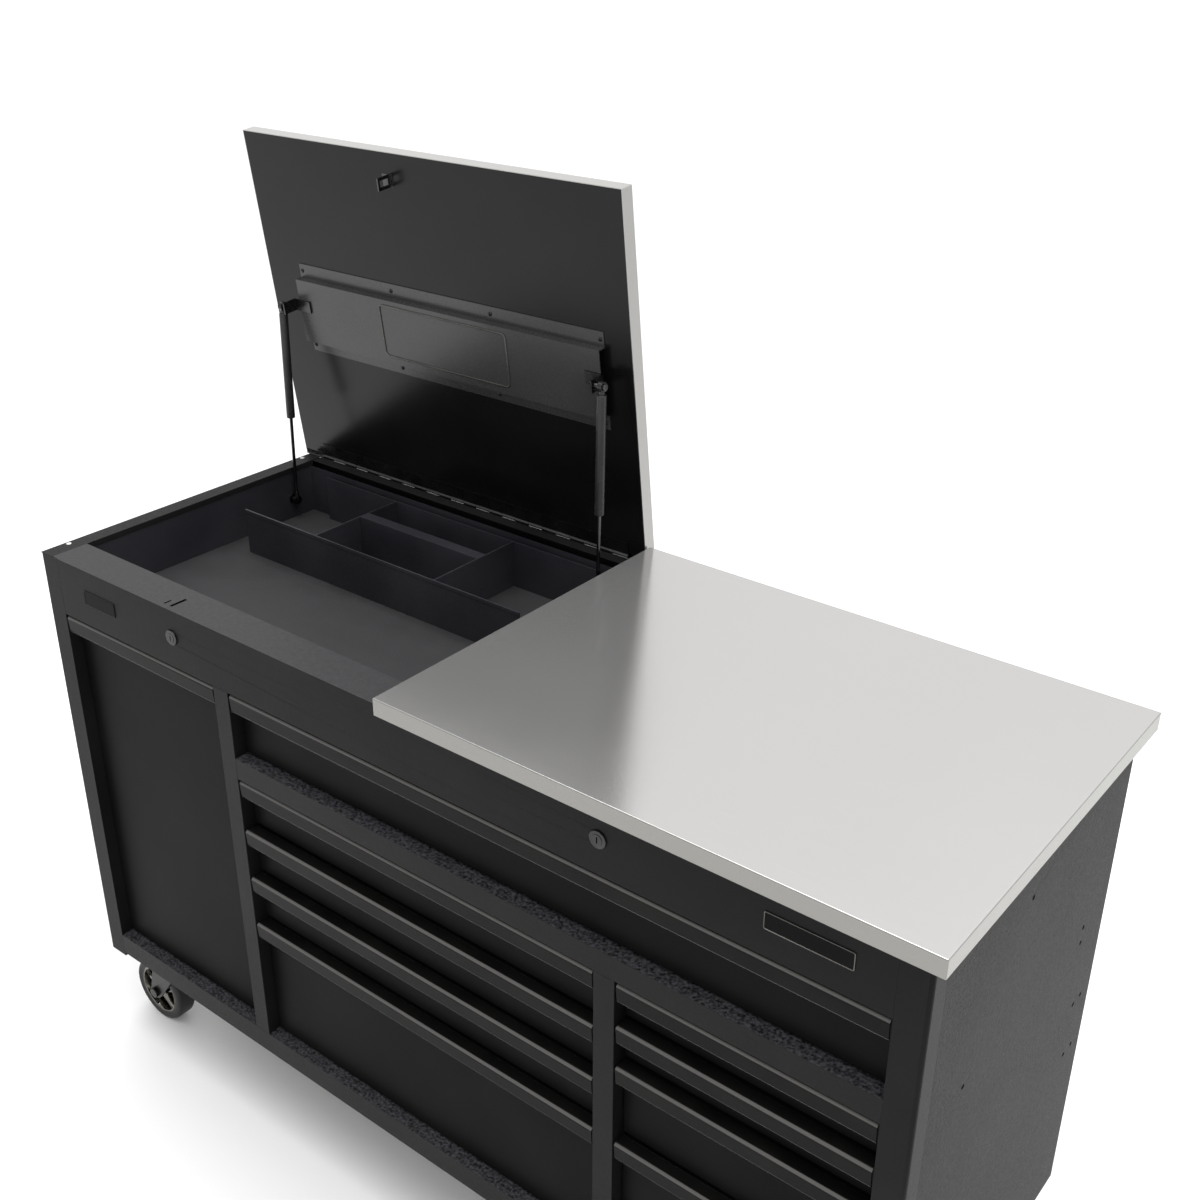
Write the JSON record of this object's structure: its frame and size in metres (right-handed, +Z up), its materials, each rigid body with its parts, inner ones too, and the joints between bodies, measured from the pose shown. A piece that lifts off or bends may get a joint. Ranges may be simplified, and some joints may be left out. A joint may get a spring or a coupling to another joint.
{
  "type": "rolling tool chest",
  "caption": "Rolling tool chest with stacked drawers behind full-width pulls, a top compartment under a lid on gas struts, a flat steel worktop beside it, and swivel casters.",
  "frame": {"origin": "on the floor, under the middle of the chest's box with the lid open, as it stands at rest", "axes": "+Z up, the drawers and the locks face -Y, +X towards the worktop's end"},
  "size_m": [1.6, 0.6185, 1.5662],
  "materials": {
    "textured_black_paint": "fine textured satin powder coat",
    "drawer_black_paint": "satin powder coat",
    "frame_black_paint": "satin powder coat",
    "inner_black_paint": "satin powder coat",
    "pull_black": "dark satin extrusion",
    "mat_rubber": "matt rubber sheet",
    "worktop_board": "plain board",
    "brushed_stainless": "brushed along its length",
    "zinc_steel": "bright zinc plate",
    "strut_black": "satin black",
    "rod_steel": "dark polished rod",
    "lock_chrome": "polished",
    "caster_steel": "dark zinc plate",
    "caster_wheel": "black rubber tyre on a dark hub"
  },
  "bodies": {
    "chest": {"left_side_panel": "textured_black_paint", "right_side_panel": "textured_black_paint", "back_panel": "textured_black_paint", "base_frame": "frame_black_paint", "corner_posts": "textured_black_paint", "upper_front_panel": "textured_black_paint", "front_frame": "textured_black_paint", "slide_supports": "frame_black_paint", "compartment_tub": "inner_black_paint", "compartment_mat": "mat_rubber", "compartment_divider": "inner_black_paint", "worktop_core": "worktop_board", "worktop_skin": "brushed_stainless", "hinge_fixed_leaf": "zinc_steel", "hinge_pin": "zinc_steel", "strut_studs": "zinc_steel", "lock_housings": "lock_chrome", "slide_outer_members": "zinc_steel", "caster_plates": "caster_steel", "caster_bolts": "zinc_steel"},
    "lid": {"lid_skin": "brushed_stainless", "lid_inner_panel": "inner_black_paint", "lid_stiffener": "inner_black_paint", "lid_hook": "zinc_steel", "hinge_moving_leaf": "zinc_steel", "strut_brackets": "zinc_steel"},
    "left_strut_tube": {"left_strut_tube": "strut_black"},
    "left_strut_rod": {"left_strut_rod": "rod_steel"},
    "right_strut_tube": {"right_strut_tube": "strut_black"},
    "right_strut_rod": {"right_strut_rod": "rod_steel"},
    "lid_lock": {"lid_lock_barrel": "lock_chrome"},
    "drawer_lock": {"drawer_lock_barrel": "lock_chrome"},
    "tall_drawer": {"tall_drawer_box": "drawer_black_paint", "tall_drawer_pull": "pull_black"},
    "wide_drawer": {"wide_drawer_box": "drawer_black_paint", "wide_drawer_pull": "pull_black"},
    "middle_drawer_1": {"middle_drawer_1_box": "drawer_black_paint", "middle_drawer_1_pull": "pull_black"},
    "middle_drawer_2": {"middle_drawer_2_box": "drawer_black_paint", "middle_drawer_2_pull": "pull_black"},
    "middle_drawer_3": {"middle_drawer_3_box": "drawer_black_paint", "middle_drawer_3_pull": "pull_black"},
    "middle_drawer_4": {"middle_drawer_4_box": "drawer_black_paint", "middle_drawer_4_pull": "pull_black"},
    "right_drawer_1": {"right_drawer_1_box": "drawer_black_paint", "right_drawer_1_pull": "pull_black"},
    "right_drawer_2": {"right_drawer_2_box": "drawer_black_paint", "right_drawer_2_pull": "pull_black"},
    "right_drawer_3": {"right_drawer_3_box": "drawer_black_paint", "right_drawer_3_pull": "pull_black"},
    "right_drawer_4": {"right_drawer_4_box": "drawer_black_paint", "right_drawer_4_pull": "pull_black"},
    "caster_front_left": {"caster_front_left_fork": "caster_steel"},
    "caster_front_left_wheel": {"caster_front_left_wheel": "caster_wheel"},
    "caster_front_right": {"caster_front_right_fork": "caster_steel"},
    "caster_front_right_wheel": {"caster_front_right_wheel": "caster_wheel"},
    "caster_rear_left": {"caster_rear_left_fork": "caster_steel"},
    "caster_rear_left_wheel": {"caster_rear_left_wheel": "caster_wheel"},
    "caster_rear_right": {"caster_rear_right_fork": "caster_steel"},
    "caster_rear_right_wheel": {"caster_rear_right_wheel": "caster_wheel"}
  },
  "joints": [
    {"name": "lid_hinge", "type": "hinge", "parent": "chest", "child": "lid", "pos_m": [0, 0.28366, 0.975], "axis": [1, 0, 0], "range_deg": [0, 82.7]},
    {"name": "left_strut_pivot", "type": "hinge", "parent": "lid", "child": "left_strut_tube", "pos_m": [-0.742, 0.21204, 1.27433], "axis": [1, 0, 0], "range_deg": [0, 1.8]},
    {"name": "left_strut_stroke", "type": "slide", "parent": "left_strut_tube", "child": "left_strut_rod", "axis": [0, 0.0233, 0.9997], "range_m": [0, 0.1325]},
    {"name": "right_strut_pivot", "type": "hinge", "parent": "lid", "child": "right_strut_tube", "pos_m": [-0.04, 0.21204, 1.27433], "axis": [1, 0, 0], "range_deg": [0, 1.8]},
    {"name": "right_strut_stroke", "type": "slide", "parent": "right_strut_tube", "child": "right_strut_rod", "axis": [0, 0.0233, 0.9997], "range_m": [0, 0.1325]},
    {"name": "lid_lock_turn", "type": "hinge", "parent": "chest", "child": "lid_lock", "pos_m": [-0.455, -0.27934, 0.929], "axis": [0, -1, 0], "range_deg": [0, 90]},
    {"name": "drawer_lock_turn", "type": "hinge", "parent": "chest", "child": "drawer_lock", "pos_m": [0.35, -0.27934, 0.929], "axis": [0, 1, 0], "range_deg": [0, 90]},
    {"name": "tall_drawer_slide", "type": "slide", "parent": "chest", "child": "tall_drawer", "axis": [0, -1, 0], "range_m": [0, 0.4]},
    {"name": "wide_drawer_slide", "type": "slide", "parent": "chest", "child": "wide_drawer", "axis": [0, -1, 0], "range_m": [0, 0.4]},
    {"name": "middle_drawer_1_slide", "type": "slide", "parent": "chest", "child": "middle_drawer_1", "axis": [0, -1, 0], "range_m": [0, 0.4]},
    {"name": "middle_drawer_2_slide", "type": "slide", "parent": "chest", "child": "middle_drawer_2", "axis": [0, -1, 0], "range_m": [0, 0.4]},
    {"name": "middle_drawer_3_slide", "type": "slide", "parent": "chest", "child": "middle_drawer_3", "axis": [0, -1, 0], "range_m": [0, 0.4]},
    {"name": "middle_drawer_4_slide", "type": "slide", "parent": "chest", "child": "middle_drawer_4", "axis": [0, -1, 0], "range_m": [0, 0.4]},
    {"name": "right_drawer_1_slide", "type": "slide", "parent": "chest", "child": "right_drawer_1", "axis": [0, -1, 0], "range_m": [0, 0.4]},
    {"name": "right_drawer_2_slide", "type": "slide", "parent": "chest", "child": "right_drawer_2", "axis": [0, -1, 0], "range_m": [0, 0.4]},
    {"name": "right_drawer_3_slide", "type": "slide", "parent": "chest", "child": "right_drawer_3", "axis": [0, -1, 0], "range_m": [0, 0.4]},
    {"name": "right_drawer_4_slide", "type": "slide", "parent": "chest", "child": "right_drawer_4", "axis": [0, -1, 0], "range_m": [0, 0.4]},
    {"name": "caster_front_left_swivel", "type": "hinge", "parent": "chest", "child": "caster_front_left", "pos_m": [-0.7, -0.21934, 0.15], "axis": [0, 0, 1], "continuous": true},
    {"name": "caster_front_left_roll", "type": "hinge", "parent": "caster_front_left", "child": "caster_front_left_wheel", "pos_m": [-0.7365, -0.21934, 0.0635], "axis": [0, 1, 0], "continuous": true},
    {"name": "caster_front_right_swivel", "type": "hinge", "parent": "chest", "child": "caster_front_right", "pos_m": [0.7, -0.21934, 0.15], "axis": [0, 0, 1], "continuous": true},
    {"name": "caster_front_right_roll", "type": "hinge", "parent": "caster_front_right", "child": "caster_front_right_wheel", "pos_m": [0.6635, -0.21934, 0.0635], "axis": [0, 1, 0], "continuous": true},
    {"name": "caster_rear_left_swivel", "type": "hinge", "parent": "chest", "child": "caster_rear_left", "pos_m": [-0.7, 0.20666, 0.15], "axis": [0, 0, 1], "continuous": true},
    {"name": "caster_rear_left_roll", "type": "hinge", "parent": "caster_rear_left", "child": "caster_rear_left_wheel", "pos_m": [-0.7365, 0.20666, 0.0635], "axis": [0, 1, 0], "continuous": true},
    {"name": "caster_rear_right_swivel", "type": "hinge", "parent": "chest", "child": "caster_rear_right", "pos_m": [0.7, 0.20666, 0.15], "axis": [0, 0, 1], "continuous": true},
    {"name": "caster_rear_right_roll", "type": "hinge", "parent": "caster_rear_right", "child": "caster_rear_right_wheel", "pos_m": [0.6635, 0.20666, 0.0635], "axis": [0, 1, 0], "continuous": true}
  ],
  "couplings": [
    {"joint": "left_strut_pivot", "follows": "lid_hinge", "ratio": 0.02114},
    {"joint": "left_strut_stroke", "follows": "lid_hinge", "m_per_rad": 0.09151},
    {"joint": "right_strut_pivot", "follows": "lid_hinge", "ratio": 0.02114},
    {"joint": "right_strut_stroke", "follows": "lid_hinge", "m_per_rad": 0.09151}
  ]
}
